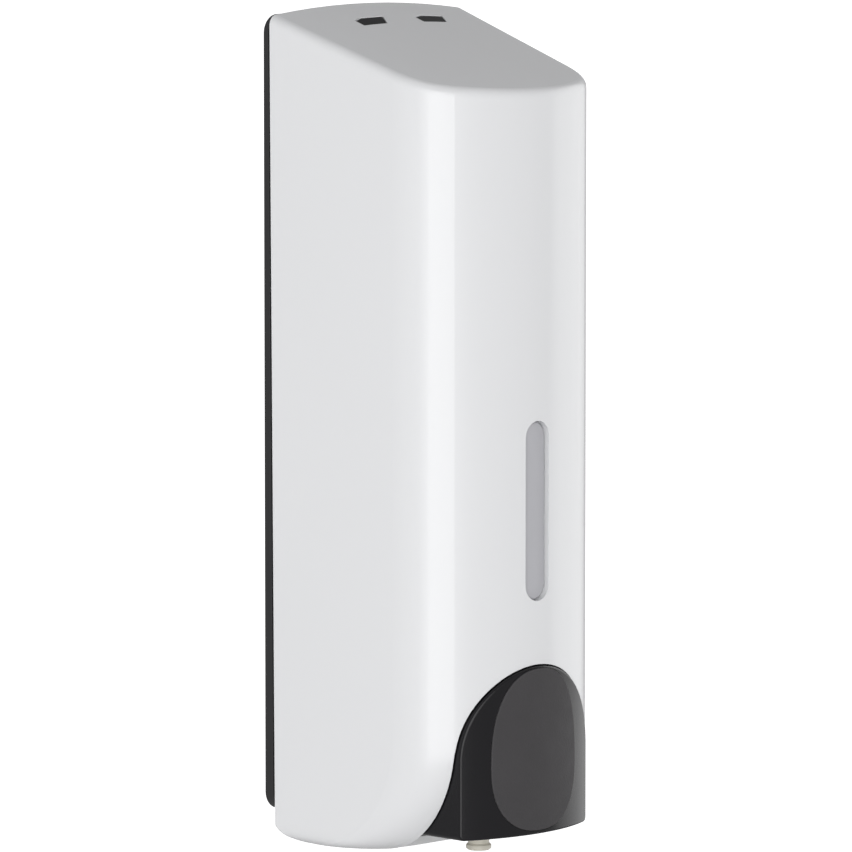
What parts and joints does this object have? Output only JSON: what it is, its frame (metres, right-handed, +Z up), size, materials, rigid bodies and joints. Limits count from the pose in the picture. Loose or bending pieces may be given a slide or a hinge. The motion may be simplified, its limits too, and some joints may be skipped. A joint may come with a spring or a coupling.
{
  "type": "wall mounted soap dispenser",
  "caption": "Wall mounted liquid soap dispenser: tipping white cover with sloping top and level window, push lever in an arch, tank and piston pump behind it.",
  "frame": {"origin": "middle of the two wall screws, on the back face of the back plate", "axes": "+Z up, -Y out of the wall towards the user, +X to the right for a person facing the front"},
  "size_m": [0.082, 0.0745, 0.2507],
  "materials": {
    "cover_white": "fine gloss moulded ABS",
    "plate_black": "fine moulded texture",
    "lever_black": "polished moulded ABS",
    "pad_grey": "fine matte texture",
    "latch_black": "smooth moulded nylon",
    "lens_frosted": "frosted polycarbonate",
    "inner_white": "moulded polypropylene",
    "inner_grey": "moulded acetal",
    "tank_translucent": "translucent polyethylene",
    "seal_rubber": "moulded rubber",
    "nozzle_silicone": "cream silicone",
    "steel": "zinc plated steel",
    "spring_steel": "drawn spring wire",
    "polished_steel": "polished stainless steel"
  },
  "bodies": {
    "frame": {"back_plate": "plate_black", "hinge_pins": "steel", "pump_bracket": "plate_black", "bracket_screws": "steel", "soap_tank": "tank_translucent", "tank_lid": "inner_white", "lid_seal": "seal_rubber", "tank_gasket": "seal_rubber", "collar_nut": "inner_grey", "valve_seat": "inner_white", "valve_cage": "inner_white", "pump_body": "inner_white", "pump_rear_plug": "inner_grey", "pump_spring": "spring_steel", "outlet_duckbill": "nozzle_silicone", "nozzle": "nozzle_silicone", "nozzle_oring": "seal_rubber"},
    "cover": {"front_cover": "cover_white", "window_lens": "lens_frosted", "lens_retainer": "inner_white", "lever_pin": "steel", "latch_guide": "inner_grey", "latch_screws": "steel", "latch_springs": "spring_steel"},
    "lever": {"push_lever": "lever_black", "push_pad": "pad_grey"},
    "latch": {"latch": "latch_black"},
    "ball": {"inlet_ball": "polished_steel"},
    "plunger": {"plunger": "inner_grey", "plunger_seal": "seal_rubber", "plunger_shoe": "latch_black"}
  },
  "joints": [
    {"name": "cover_hinge", "type": "hinge", "parent": "frame", "child": "cover", "pos_m": [0, -0.008, -0.123], "axis": [1, 0, 0], "range_deg": [0, 75]},
    {"name": "lever_pivot", "type": "hinge", "parent": "cover", "child": "lever", "pos_m": [0, -0.063, -0.069], "axis": [1, 0, 0], "range_deg": [0, 10], "stiffness_Nm_per_rad": 2, "springref_deg": -8.59},
    {"name": "plunger_slide", "type": "slide", "parent": "frame", "child": "plunger", "axis": [0, 1, 0], "range_m": [0, 0.0067], "deforming": ["pump_spring"]},
    {"name": "latch_slide", "type": "slide", "parent": "cover", "child": "latch", "axis": [0, 0, -1], "range_m": [0, 0.003], "stiffness_N_per_m": 400, "springref_m": -0.002, "deforming": ["latch_springs"]},
    {"name": "inlet_ball_lift", "type": "slide", "parent": "frame", "child": "ball", "axis": [0, 0, 1], "range_m": [0, 0.002]}
  ],
  "couplings": [
    {"joint": "plunger_slide", "follows": "lever_pivot", "m_per_rad": 0.038}
  ]
}
